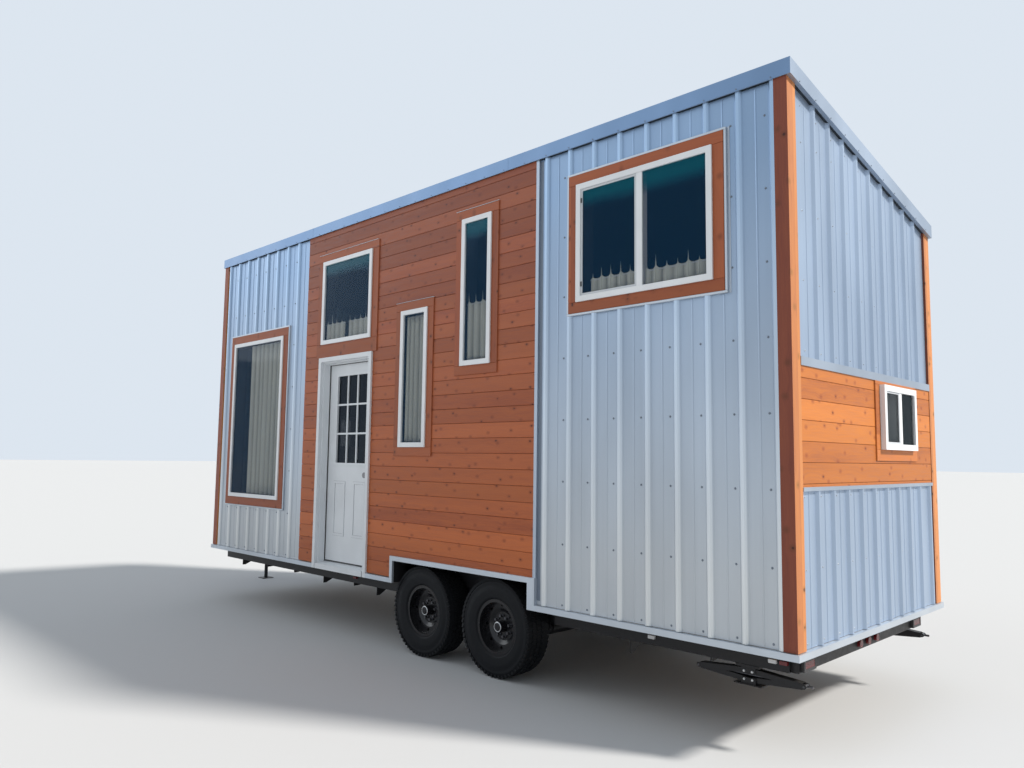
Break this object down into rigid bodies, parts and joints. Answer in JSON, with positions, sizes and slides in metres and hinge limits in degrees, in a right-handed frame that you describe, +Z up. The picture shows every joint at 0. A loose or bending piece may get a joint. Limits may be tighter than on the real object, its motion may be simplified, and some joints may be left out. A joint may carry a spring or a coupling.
{
  "type": "tiny house on wheels",
  "caption": "Shed-roofed one-room house on a tandem-axle trailer, clad in ribbed steel and stained boards, with a glazed entry door and rear scissor jacks.",
  "frame": {"origin": "on the ground, in the middle of the overall length and width", "axes": "+X towards the rear wall, tongue at -X, entry door on the -Y side, +Z up"},
  "size_m": [8.88, 2.586, 4.206],
  "materials": {
    "frame_paint": "satin black chassis enamel",
    "galvanised": "dull zinc",
    "tyre": "matt rubber",
    "wheel_paint": "gloss black",
    "lens": "moulded lens",
    "framing": "bare timber and board",
    "stained_wood": "oiled red-brown stain",
    "sheet_metal": "pale metallic sheet",
    "fascia_metal": "pale metallic trim",
    "white_vinyl": "white extrusion",
    "door_paint": "white satin",
    "glass": "clear glazing",
    "nickel": "satin nickel",
    "cloth": "pleated cream curtain"
  },
  "bodies": {
    "house": {"axles": "frame_paint", "base_flashing": "door_paint", "corner_posts": "stained_wood", "crossmembers": "frame_paint", "curtains": "cloth", "door_frame": "door_paint", "end_boards": "stained_wood", "end_metal": "sheet_metal", "fascia": "fascia_metal", "floor_deck": "framing", "frame_rails": "frame_paint", "jack_mounts": "frame_paint", "leaf_springs": "frame_paint", "lights": "lens", "metal_trims": "door_paint", "rear_bumper": "frame_paint", "roof_deck": "framing", "roof_sheet": "sheet_metal", "side_boards": "stained_wood", "side_channels": "frame_paint", "side_metal": "sheet_metal", "tongue_frame": "frame_paint", "tongue_jack": "frame_paint", "wall_door_side_front": "framing", "wall_door_side_rear": "framing", "wall_far_side": "framing", "wall_over_door": "framing", "wall_over_wheels": "framing", "wall_rear_end": "framing", "wall_tongue_end": "framing", "wheel_wells": "frame_paint", "window_frames": "white_vinyl", "window_glass": "glass", "window_trims": "stained_wood"},
    "door": {"door_leaf": "door_paint", "door_glass": "glass", "door_hardware": "nickel"},
    "wheel_rear_left": {"tyre_rear_left": "tyre", "wheel_rear_left": "wheel_paint"},
    "wheel_front_left": {"tyre_front_left": "tyre", "wheel_front_left": "wheel_paint"},
    "wheel_rear_right": {"tyre_rear_right": "tyre", "wheel_rear_right": "wheel_paint"},
    "wheel_front_right": {"tyre_front_right": "tyre", "wheel_front_right": "wheel_paint"},
    "jack_left_upper_front": {"jack_left_upper_front": "frame_paint"},
    "jack_left_upper_rear": {"jack_left_upper_rear": "frame_paint"},
    "jack_left_lower_front": {"jack_left_lower_front": "frame_paint"},
    "jack_left_lower_rear": {"jack_left_lower_rear": "frame_paint"},
    "jack_left_foot": {"jack_left_foot": "frame_paint"},
    "jack_left_screw": {"jack_left_screw": "galvanised"},
    "jack_left_nut": {"jack_left_nut": "galvanised"},
    "jack_right_upper_front": {"jack_right_upper_front": "frame_paint"},
    "jack_right_upper_rear": {"jack_right_upper_rear": "frame_paint"},
    "jack_right_lower_front": {"jack_right_lower_front": "frame_paint"},
    "jack_right_lower_rear": {"jack_right_lower_rear": "frame_paint"},
    "jack_right_foot": {"jack_right_foot": "frame_paint"},
    "jack_right_screw": {"jack_right_screw": "galvanised"},
    "jack_right_nut": {"jack_right_nut": "galvanised"}
  },
  "joints": [
    {"name": "door_hinge", "type": "hinge", "parent": "house", "child": "door", "pos_m": [-0.719, -1.129, 1.68225], "axis": [0, 0, 1], "range_deg": [0, 95]},
    {"name": "wheel_rear_left_spin", "type": "hinge", "parent": "house", "child": "wheel_rear_left", "pos_m": [1.85, -1.1075, 0.391], "axis": [0, 1, 0], "continuous": true},
    {"name": "wheel_front_left_spin", "type": "hinge", "parent": "house", "child": "wheel_front_left", "pos_m": [0.928, -1.1075, 0.391], "axis": [0, 1, 0], "continuous": true},
    {"name": "wheel_rear_right_spin", "type": "hinge", "parent": "house", "child": "wheel_rear_right", "pos_m": [1.85, 1.1075, 0.391], "axis": [0, 1, 0], "continuous": true},
    {"name": "wheel_front_right_spin", "type": "hinge", "parent": "house", "child": "wheel_front_right", "pos_m": [0.928, 1.1075, 0.391], "axis": [0, 1, 0], "continuous": true},
    {"name": "jack_left_spread", "type": "hinge", "parent": "house", "child": "jack_left_upper_front", "pos_m": [3.9475, -1.035, 0.434], "axis": [0, -1, 0], "range_deg": [0, 32.9]},
    {"name": "jack_left_upper_rear_pivot", "type": "hinge", "parent": "house", "child": "jack_left_upper_rear", "pos_m": [4.0025, -1.035, 0.434], "axis": [0, 1, 0], "range_deg": [0, 32.91]},
    {"name": "jack_left_lower_front_pivot", "type": "hinge", "parent": "jack_left_upper_front", "child": "jack_left_lower_front", "pos_m": [3.61845, -1.035, 0.409], "axis": [0, 1, 0], "range_deg": [0, 65.81]},
    {"name": "jack_left_lower_rear_pivot", "type": "hinge", "parent": "jack_left_upper_rear", "child": "jack_left_lower_rear", "pos_m": [4.33155, -1.035, 0.409], "axis": [0, -1, 0], "range_deg": [0, 65.81]},
    {"name": "jack_left_foot_pivot", "type": "hinge", "parent": "jack_left_lower_front", "child": "jack_left_foot", "pos_m": [3.9475, -1.035, 0.384], "axis": [0, -1, 0], "range_deg": [0, 32.91]},
    {"name": "jack_left_screw_pivot", "type": "hinge", "parent": "jack_left_upper_rear", "child": "jack_left_screw", "pos_m": [4.33155, -1.035, 0.409], "axis": [0, -1, 0], "range_deg": [0, 32.91]},
    {"name": "jack_left_nut_pivot", "type": "hinge", "parent": "jack_left_upper_front", "child": "jack_left_nut", "pos_m": [3.61845, -1.035, 0.409], "axis": [0, 1, 0], "range_deg": [0, 32.91]},
    {"name": "jack_right_spread", "type": "hinge", "parent": "house", "child": "jack_right_upper_front", "pos_m": [3.9475, 1.035, 0.434], "axis": [0, -1, 0], "range_deg": [0, 32.9]},
    {"name": "jack_right_upper_rear_pivot", "type": "hinge", "parent": "house", "child": "jack_right_upper_rear", "pos_m": [4.0025, 1.035, 0.434], "axis": [0, 1, 0], "range_deg": [0, 32.91]},
    {"name": "jack_right_lower_front_pivot", "type": "hinge", "parent": "jack_right_upper_front", "child": "jack_right_lower_front", "pos_m": [3.61845, 1.035, 0.409], "axis": [0, 1, 0], "range_deg": [0, 65.81]},
    {"name": "jack_right_lower_rear_pivot", "type": "hinge", "parent": "jack_right_upper_rear", "child": "jack_right_lower_rear", "pos_m": [4.33155, 1.035, 0.409], "axis": [0, -1, 0], "range_deg": [0, 65.81]},
    {"name": "jack_right_foot_pivot", "type": "hinge", "parent": "jack_right_lower_front", "child": "jack_right_foot", "pos_m": [3.9475, 1.035, 0.384], "axis": [0, -1, 0], "range_deg": [0, 32.91]},
    {"name": "jack_right_screw_pivot", "type": "hinge", "parent": "jack_right_upper_rear", "child": "jack_right_screw", "pos_m": [4.33155, 1.035, 0.409], "axis": [0, -1, 0], "range_deg": [0, 32.91]},
    {"name": "jack_right_nut_pivot", "type": "hinge", "parent": "jack_right_upper_front", "child": "jack_right_nut", "pos_m": [3.61845, 1.035, 0.409], "axis": [0, 1, 0], "range_deg": [0, 32.91]}
  ],
  "couplings": [
    {"joint": "jack_left_upper_rear_pivot", "follows": "jack_left_spread", "ratio": 1},
    {"joint": "jack_left_lower_front_pivot", "follows": "jack_left_spread", "ratio": 2},
    {"joint": "jack_left_lower_rear_pivot", "follows": "jack_left_spread", "ratio": 2},
    {"joint": "jack_left_foot_pivot", "follows": "jack_left_spread", "ratio": 1},
    {"joint": "jack_left_screw_pivot", "follows": "jack_left_spread", "ratio": 1},
    {"joint": "jack_left_nut_pivot", "follows": "jack_left_spread", "ratio": 1},
    {"joint": "jack_right_upper_rear_pivot", "follows": "jack_right_spread", "ratio": 1},
    {"joint": "jack_right_lower_front_pivot", "follows": "jack_right_spread", "ratio": 2},
    {"joint": "jack_right_lower_rear_pivot", "follows": "jack_right_spread", "ratio": 2},
    {"joint": "jack_right_foot_pivot", "follows": "jack_right_spread", "ratio": 1},
    {"joint": "jack_right_screw_pivot", "follows": "jack_right_spread", "ratio": 1},
    {"joint": "jack_right_nut_pivot", "follows": "jack_right_spread", "ratio": 1}
  ]
}
